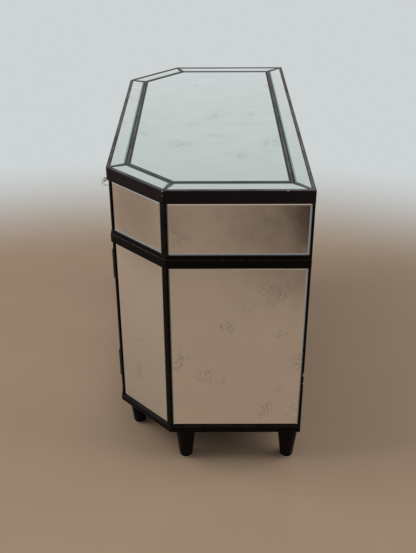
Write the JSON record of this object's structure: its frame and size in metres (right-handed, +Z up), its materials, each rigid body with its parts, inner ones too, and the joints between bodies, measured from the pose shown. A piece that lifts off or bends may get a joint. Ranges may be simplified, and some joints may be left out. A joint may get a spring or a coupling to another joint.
{
  "type": "chiffonier",
  "caption": "Mirror-clad sideboard with canted front corners, black mitred trim, a long frieze drawer over inset doors and turned conical legs.",
  "frame": {"origin": "on the floor, midway along the length and midway between the knob tips and the back", "axes": "+X to the right along the length seen from the front, +Y towards the wall, +Z up"},
  "size_m": [1.03, 0.532, 0.824],
  "materials": {
    "black_lacquer": "satin black lacquer on wood, edges lightly rubbed",
    "mirror_glass": "antiqued mirror, lightly foxed, bevelled edges",
    "carcass_board": "board painted matt black",
    "drawer_wood": "pale solid wood, waxed",
    "knob_glass": "clear cut glass, polished facets",
    "knob_brass": "aged pale brass",
    "hinge_steel": "black painted steel",
    "plain_steel": "zinc plated",
    "felt": "pressed pale felt",
    "catch_plastic": "moulded"
  },
  "bodies": {
    "case": {"arris_post_left": "black_lacquer", "arris_post_right": "black_lacquer", "back_panel": "carcass_board", "back_posts": "black_lacquer", "base_moulding": "black_lacquer", "base_rail": "black_lacquer", "border_mirrors": "mirror_glass", "cant_boards": "carcass_board", "cant_mirror_lower_left": "mirror_glass", "cant_mirror_lower_right": "mirror_glass", "cant_mirror_upper_left": "mirror_glass", "cant_mirror_upper_right": "mirror_glass", "door_catch": "catch_plastic", "drawer_deck": "carcass_board", "drawer_kickers": "drawer_wood", "drawer_runners": "drawer_wood", "end_boards": "carcass_board", "end_mirror_lower_left": "mirror_glass", "end_mirror_lower_right": "mirror_glass", "end_mirror_upper_left": "mirror_glass", "end_mirror_upper_right": "mirror_glass", "felt_glides": "felt", "floor_board": "carcass_board", "front_post_left": "black_lacquer", "front_post_right": "black_lacquer", "legs": "black_lacquer", "mitre_beads": "black_lacquer", "post_hinge_leaves": "hinge_steel", "ring_beads": "black_lacquer", "shelf_battens": "carcass_board", "shelf_board": "carcass_board", "side_rails": "black_lacquer", "top_board": "carcass_board", "top_edge_back": "black_lacquer", "top_edge_cants": "black_lacquer", "top_edge_ends": "black_lacquer", "top_edge_front": "black_lacquer", "top_mirror": "mirror_glass", "waist_moulding": "black_lacquer", "waist_rail": "black_lacquer"},
    "drawer": {"drawer_front": "black_lacquer", "drawer_mirror": "mirror_glass", "drawer_sides": "drawer_wood", "drawer_back": "drawer_wood", "drawer_bottom": "drawer_wood", "drawer_knobs": "knob_glass", "drawer_knob_mounts": "knob_brass"},
    "door_right": {"door_right": "black_lacquer", "door_mirror_right": "mirror_glass", "door_knob_right": "knob_glass", "door_knob_mount_right": "knob_brass", "door_hinge_leaves_right": "hinge_steel", "strike_plate_right": "plain_steel"},
    "door_left": {"door_left": "black_lacquer", "door_mirror_left": "mirror_glass", "door_knob_left": "knob_glass", "door_knob_mount_left": "knob_brass", "door_hinge_leaves_left": "hinge_steel", "strike_plate_left": "plain_steel"}
  },
  "joints": [
    {"name": "drawer_slide", "type": "slide", "parent": "case", "child": "drawer", "axis": [0, -1, 0], "range_m": [0, 0.3]},
    {"name": "door_right_hinge", "type": "hinge", "parent": "case", "child": "door_right", "pos_m": [0.35434, -0.2324, 0.37], "axis": [0, 0, 1], "range_deg": [0, 170]},
    {"name": "door_left_hinge", "type": "hinge", "parent": "case", "child": "door_left", "pos_m": [-0.35434, -0.2324, 0.37], "axis": [0, 0, -1], "range_deg": [0, 170]}
  ]
}
